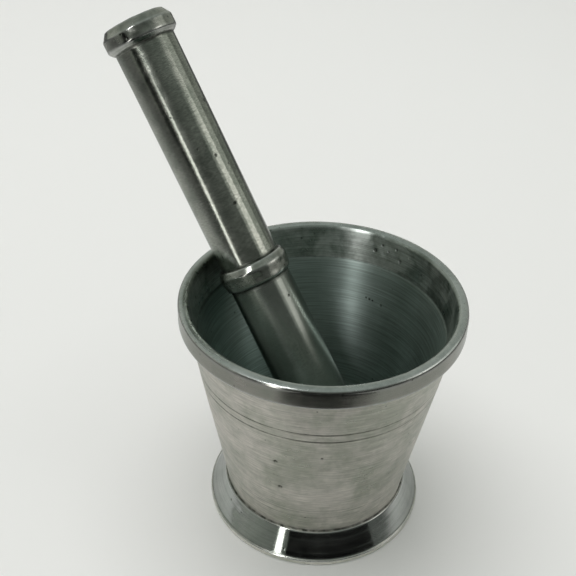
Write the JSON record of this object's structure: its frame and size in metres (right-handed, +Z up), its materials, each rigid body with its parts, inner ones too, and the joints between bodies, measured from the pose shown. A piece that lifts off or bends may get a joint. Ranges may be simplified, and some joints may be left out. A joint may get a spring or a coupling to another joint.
{
  "type": "mortar and pestle",
  "caption": "Footed metal mortar with a raised rim band, and a loose turned pestle with a collar and a beaded head, for crushing pills by hand.",
  "frame": {"origin": "centre of the mortar's flat underside, on its turning axis", "axes": "+Z up along the mortar's axis towards its mouth, +X to the right and +Y to the back when the pestle leans to the back left"},
  "size_m": [0.1298, 0.1096, 0.1749],
  "materials": {
    "mortar_metal": "cast aluminium, turned and satin polished, with a bright foot and fine lathe lines",
    "pestle_metal": "turned bar, polished lengthways and worn, with small pits"
  },
  "bodies": {
    "mortar": {"mortar": "mortar_metal"},
    "pestle": {"pestle": "pestle_metal"}
  },
  "joints": [
    {"name": "pestle_lift", "type": "slide", "parent": "mortar", "child": "pestle", "axis": [0, 0, 1], "range_m": [0, 0.1]}
  ]
}
